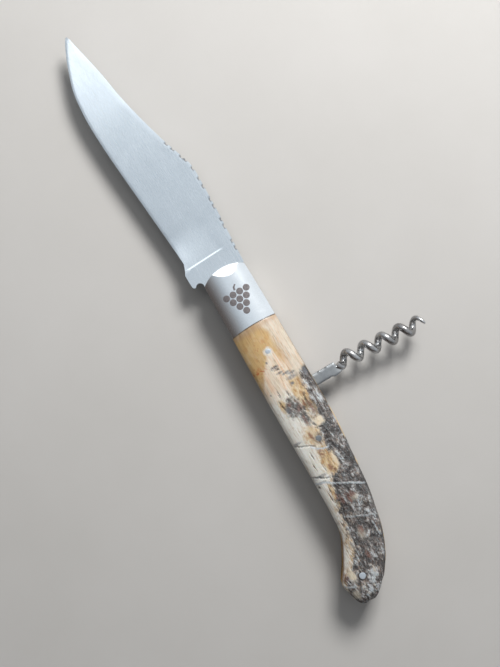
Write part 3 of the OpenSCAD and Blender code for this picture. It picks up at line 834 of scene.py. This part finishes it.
# ---- blade
def blade_piece():
    """The blade as a plate: kick and edge on the left, filed back on the right, round tang below."""
    def edge(y):
        return along(blade_curve, y, 1)

    def spine(y):
        return np.where(y < 15.6, 11.4 + (y - 9) * 0.4 / 6.6, along(blade_curve, y, 2))

    left = [(-4.1, 9.4)] + arc(-5.5, 9.15, 1.35, 20, 150, 14)
    left += [(-6.85, 9.75), (-7.15, 9.72), (-7.5, 9.95), (-7.75, 10.4), (-7.82, 11.0), (-7.85, 12.4),
             (-7.85, 13.8), (-7.85, 14.8), (-7.75, 15.2), (-7.35, 15.75), (-7.0, 16.5), (-6.7, 17.4)]
    left += [(float(edge(y)), float(y)) for y in np.arange(18.5, 102.0, 0.8)]
    tip = [(-2.15, 102.6), (-1.65, 103.4), (-1.25, 103.85), (-1.0, 103.97), (-0.8, 103.9), (-0.62, 103.5)]
    right = []
    for y in np.arange(9.0, 102.9, 0.2):
        x = float(spine(y))
        for k, c in enumerate(NICKS):
            t = abs(y - c) / NICK_W[k % 4]
            if t < 1:
                x -= NICK_D[(k * 3) % 4] * (math.sqrt(1 - t * t) if k % 3 else 1.1 * (1 - t))
        right.append((x, y))
    tang = [(6.15, 9.0), (6.15, 6.0), (6.15, 3.0)] + arc(0, 0, 6.15, 0, -131.8, 30) + [(-4.1, 0), (-4.1, 4)]
    outline = left + tip + right[::-1] + tang
    # inner points, close together where the grind begins
    inner = []
    levels = [np.arange(-5, 13.5, 1.2), np.arange(13.6, 19.5, 0.22), np.arange(20.2, 103, 1.0)]
    for y in np.concatenate(levels):
        b = float(spine(y))
        if y < 9.2:
            a = -3.4
            b = 5.5 if y < 8.6 else 10.6
        elif y > 17.5:
            a = float(edge(y))
        else:
            a = -7.3 if 10.8 < y < 15.2 else -6.0
        n = max(3, int((b - a) / 0.9))
        for k in range(1, n):
            inner.append((a + (b - a) * k / n, float(y)))
        if y > 17.5:
            inner.append((a + 0.55, float(y)))
    for y in np.arange(12.4, 60, 0.3):
        inner += [(float(spine(y)) - d, float(y)) for d in (0.95, 1.35)]
    ring_hole = arc(0, 0, 2.04, 0, 352.5, 47)
    inner = [p for p in inner if inside(p, outline) and math.hypot(*p) > 2.6]

    def height(x, y):
        xe = edge(y)
        xs = spine(y)
        ts = along(blade_curve, y, 3)
        f = np.clip((x - xe) / np.maximum(xs - xe, 0.3), 0, 1)
        bevel = smooth(0, 1, (x - xe) / 0.7)
        grind = (0.10 + 0.12 * bevel) + (ts / 2 - 0.22) * f ** 0.93
        grind = np.minimum(grind, ts / 2)
        # plunge: a small step along a slanted line, then the grind runs down to its full depth
        line = 16.0 + (x + 5.7) * 0.035
        gone = 1.5 - grind
        step = np.minimum(0.10, gone) * (1 - smooth(5.5, 9.0, x))
        start = smooth(-2, 13, 0)
        run = np.clip(smooth(-2, 13, y - line) - start, 0, 1)
        h = 1.5 - step * smooth(0, 0.38, y - line) - (gone - step) * run / (1 - start)
        # the file takes a little off the face beside each nick
        filed = np.zeros(np.shape(y))
        for k, c in enumerate(NICKS):
            filed = np.maximum(filed, np.clip(1 - np.abs(y - c) / (1.3 * NICK_W[k % 4]), 0, 1))
        h = h - 0.07 * filed * smooth(1.1, 0.4, xs - x)
        chamfer = np.clip((xs - x) / 0.45, 0, 1)
        h = h - 0.05 * (1 - chamfer) * smooth(9, 12, y)
        h = np.where(y < 9.0, 1.5, h)
        return MID - h, MID + h

    verts, faces = plate(outline, [ring_hole], inner, height)
    ob = link("blade_steel", verts, faces, steel_blade, "blade", 24)
    # painted shade darkens the filed nicks
    at = np.array([v.co for v in ob.data.vertices]) / MM
    depth = spine(at[:, 1]) - at[:, 0]
    painted_nick_shade = np.zeros(len(at))
    for k, c in enumerate(NICKS):
        painted_nick_shade = np.maximum(painted_nick_shade, smooth(1.15, 0.7, np.abs(at[:, 1] - c) / NICK_W[k % 4]))
    painted_nick_shade = painted_nick_shade * smooth(0.85, 0.45, depth)
    point_values(ob, "painted_nick_shade", painted_nick_shade)
    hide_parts("blade")


# ---- corkscrew
def tube(path, radii, sides):
    """Swept tube with closed ends along path."""
    P = [Vector(p) for p in path]
    verts, faces = [], []
    for i, p in enumerate(P):
        t = (P[min(i + 1, len(P) - 1)] - P[max(i - 1, 0)]).normalized()
        if i == 0:
            n = t.cross(Vector((0, 0, 1))).normalized()
        else:
            n = (n - t * n.dot(t)).normalized()
        b = t.cross(n)
        for k in range(sides):
            a = 2 * math.pi * k / sides
            verts.append(p + radii[i] * (n * math.cos(a) + b * math.sin(a)))
    for i in range(len(P) - 1):
        for k in range(sides):
            a = i * sides + k
            c = i * sides + (k + 1) % sides
            faces.append((a, c, c + sides, a + sides))
    faces.append(tuple(range(sides - 1, -1, -1)))
    faces.append(tuple(range(len(P) * sides - sides, len(P) * sides)))
    return [tuple(v) for v in verts], faces


WORM_AT = (24.9, -36.3)
LEAN = math.radians(-5.3)
PITCH = 6.45           # the worm's rise for each turn, radius of its wire, radius of its coil, mm
WIRE = 1.25
COIL = 1.9
WORM_START = -250      # turned angles where the worm begins and ends, degrees
WORM_END = 1550
WORM_STEPS = 620


def worm_piece():
    """The round worm, which thins to a point."""
    path, radii = [], []
    for k in range(WORM_STEPS + 1):
        a = WORM_START + (WORM_END - WORM_START) * k / WORM_STEPS
        r = WIRE * min(1.0, 0.26 + 0.74 * (max(WORM_END - a, 0) / 230) ** 0.65)
        core = COIL + (WIRE - r) * 0.4
        if a < -150:                       # the wire runs out of the flat shank
            core = COIL - 0.3 * smooth(0, 1, (-150 - a) / 100)
        s = PITCH * a / 360
        w = core * math.cos(math.radians(a))
        x = WORM_AT[0] + s * math.cos(LEAN) - w * math.sin(LEAN)
        y = WORM_AT[1] + s * math.sin(LEAN) + w * math.cos(LEAN)
        z = MID + core * math.sin(math.radians(a)) * (1 if a > -180 else 0.6)
        path.append((x, y, z))
        # forged wire: its radius wavers a little
        radii.append(float(r) * (1 + 0.025 * float(fbm(np.array(a / 40), np.array(0.5), 33, 3))))
    verts, faces = tube(path, radii, 26)
    link("corkscrew_worm", verts, faces, steel_screw, "corkscrew", 40)


def shank_piece():
    """The flat shank with its pin hole and rounded edges."""
    px, py = SHANK_PIN
    h = SHANK_W / 2
    ring = arc(px, py, h, 90, 270, 24)
    ring += [(12, py - h), (15, py - h), (17.0, py - h), (17.5, -39.3), (18.0, -39.55), (19.2, -39.45),
             (20.4, -39.2), (21.2, -38.95), (21.6, -38.5), (21.6, -38.0), (21.25, -37.6), (20.7, -37.3),
             (20.3, -36.9), (20.0, -36.4), (19.8, -35.8), (19.65, py + h), (17, py + h), (13, py + h)]
    hole = arc(px, py, 0.94, 0, 345, 23)
    ring = dense(ring, 0.35)
    inner = []
    for y in np.arange(py - h - 0.4, py + h, 0.42):
        for x in np.arange(px - h, 21.8, 0.42):
            if inside((x, y), ring) and math.hypot(x - px, y - py) > 1.3:
                if min(math.hypot(x - a, y - b) for a, b in ring) > 0.16:
                    inner.append((float(x), float(y)))
    edge = np.array(ring)

    def height(x, y):
        d = np.min(np.hypot(x[:, None] - edge[None, :, 0], y[:, None] - edge[None, :, 1]), 1)
        r = 0.32
        t = np.clip(d / r, 0, 1)
        hh = 1.5 - r * 0.8 * (1 - np.sqrt(np.clip(1 - (1 - t) ** 2, 0, 1)))
        # the end is drawn down towards the wire
        hh = hh - 0.55 * smooth(19.2, 21.6, x)
        hh = np.where(np.hypot(x - px, y - py) < 1.2, 1.5, hh)
        return MID - hh, MID + hh

    verts, faces = plate(ring, [hole], inner, height)
    ob = link("corkscrew_shank", verts, faces, steel_shank, "corkscrew", 38)
    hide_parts("corkscrew")


# ---- pins with peened heads
def pin_piece(name, at, r, z0, z1, rise, material, replaces=()):
    """Pin from z0 to z1 with ends that rise softly in the middle."""
    cap = [(0, rise), (0.35 * r, rise * 0.95), (0.7 * r, rise * 0.7), (0.92 * r, rise * 0.3), (r, 0)]
    prof = [(pr, z1 + up) for pr, up in cap] + [(pr, z0 - up) for pr, up in reversed(cap)]
    n = 40
    verts = [(at[0], at[1], prof[0][1])]
    for pr, pz in prof[1:-1]:
        for k in range(n):
            a = 2 * math.pi * k / n
            wob = 1 + 0.03 * math.sin(3 * a + pz)
            verts.append((at[0] + pr * wob * math.cos(a), at[1] + pr * wob * math.sin(a), pz))
    verts.append((at[0], at[1], prof[-1][1]))
    faces = [(0, 1 + k, 1 + (k + 1) % n) for k in range(n)]
    for i in range(len(prof) - 3):
        for k in range(n):
            a = 1 + i * n + k
            b = 1 + i * n + (k + 1) % n
            faces.append((a, a + n, b + n, b))
    last = len(verts) - 1
    s = 1 + (len(prof) - 3) * n
    faces += [(s + (k + 1) % n, s + k, last) for k in range(n)]
    ob = link(name, verts, faces, material, "handle", 40)
    if replaces:
        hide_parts(*replaces)


# ---- build
scale_piece("horn_scale_top", False)
scale_piece("horn_scale_bottom", True)
bolster_piece("bolster_upper", False)
bolster_piece("bolster_lower", True)
grape_mark()
blade_piece()
worm_piece()
shank_piece()
pin_piece("front_pin_upper", FRONT_PIN, 0.95, 8.6, 13.93, 0.06, steel_pin, ("front_scale_pins",))
pin_piece("front_pin_lower", FRONT_PIN, 0.95, 0.07, 5.4, 0.06, steel_pin)
pin_piece("spring_pin_peened", SPRING_PIN, 1.02, 0.10, 13.90, 0.05, steel_worn, ("spring_pin",))
pin_piece("rear_pin_peened", REAR_PIN, 1.1, 0.40, 13.60, 0.08, steel_pin, ("rear_pin",))

for node, mat in (("liner_top", liner_brass), ("liner_bottom", liner_brass), ("back_spring", steel_spring),
                  ("blade_pivot_pin", steel_pin), ("bolster_rivets", steel_pin),
                  ("corkscrew_pivot_pin", steel_pin)):
    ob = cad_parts[node]
    ob.data.materials.clear()
    ob.data.materials.append(mat)


# ---- floor, light, camera
FLOOR_HALF = 1.6       # half the floor's side, m
FLOOR_Z = -0.00005     # just below the knife, m


def floor():
    me = bpy.data.meshes.new("floor")
    corners = [(x * FLOOR_HALF, y * FLOOR_HALF, FLOOR_Z) for x, y in ((-1, -1), (1, -1), (1, 1), (-1, 1))]
    me.from_pydata(corners, [], [(0, 1, 2, 3)])
    m = Nodes("pale_table")
    n = m.noise(14, (1, 1, 1), 6, 0.6)
    f = m.noise(900, (1, 1, 1), 3, 0.6)
    m.set(Base_Color=m.mix(m.range(n, 0.3, 0.7, 0, 1), (0.47, 0.458, 0.442), (0.505, 0.493, 0.48)),
          Roughness=m.range(f, 0.3, 0.7, 0.5, 0.62), Normal=m.bump(f, 0.1, 0.00005))
    me.materials.append(m.mat)
    ob = bpy.data.objects.new("floor", me)
    bpy.context.scene.collection.objects.link(ob)


def area(name, loc, target, size, size_y, power, color):
    d = bpy.data.lights.new(name, "AREA")
    d.shape = "RECTANGLE"
    d.size = size
    d.size_y = size_y
    d.energy = power
    d.color = color
    ob = bpy.data.objects.new(name, d)
    ob.location = loc
    ob.rotation_euler = (Vector(target) - Vector(loc)).to_track_quat("-Z", "Y").to_euler()
    bpy.context.scene.collection.objects.link(ob)


floor()
area("key", (0.385, 0.32, 0.45), (0.0, -0.01, 0.0), 0.27, 0.23, 6.2, (1.0, 0.99, 0.97))
area("tip_window", (0.02, 0.31, 0.50), (0.0, 0.12, 0.0), 0.34, 0.20, 0.26, (0.97, 0.99, 1.0))
area("fill", (-0.15, -0.45, 0.55), (0.0, -0.03, 0.0), 0.5, 0.5, 0.2, (1.0, 0.97, 0.94))

# the room brightens towards plus x and plus y
world = bpy.data.worlds.new("studio")
bpy.context.scene.world = world
world.use_nodes = True
background = world.node_tree.nodes["Background"]
room = Tree(world.node_tree)
side = room.new("VectorMath", operation="DOT_PRODUCT")
room.put(side.inputs[0], room.new("TexCoord").outputs["Generated"])
room.put(side.inputs[1], (0.75, 0.55, 0.20))
room_colour = room.ramp(room.range(side.outputs["Value"], -1, 1, 0, 1), (
    (0.12, (0.085, 0.066, 0.058)), (0.20, (0.110, 0.092, 0.085)), (0.27, (0.215, 0.203, 0.203)),
    (0.35, (0.34, 0.345, 0.355)), (0.45, (0.49, 0.52, 0.555)), (0.60, (0.74, 0.79, 0.84)),
    (0.85, (0.94, 0.97, 1.0))))
# glossy rays see a brighter room than the one that lights the floor, as polished steel does in a studio tent
glossy = room.new("LightPath").outputs["Is Glossy Ray"]
room.fill(background, Color=room_colour, Strength=room.range(glossy, 0, 1, 0.27, 1.05))

CAM_DIST = 0.36        # from the camera to the height that its view is set for, m
CAM_LEVEL = 0.0085     # that height, m
HALF_VIEW = 0.11117    # half the length that the picture shows there, m
SENSOR = 24.0          # mm

cam_data = bpy.data.cameras.new("camera")
cam = bpy.data.objects.new("camera", cam_data)
bpy.context.scene.collection.objects.link(cam)
cam_data.sensor_fit = "VERTICAL"
cam_data.sensor_height = SENSOR
cam_data.lens = SENSOR / 2 * CAM_DIST / HALF_VIEW
cam_data.clip_start = 0.01
cam.location = (0.0008, -0.0126, CAM_LEVEL + CAM_DIST)
cam.rotation_euler = (0, 0, math.radians(-31))
bpy.context.scene.camera = cam
bpy.context.scene.view_settings.view_transform = "Standard"
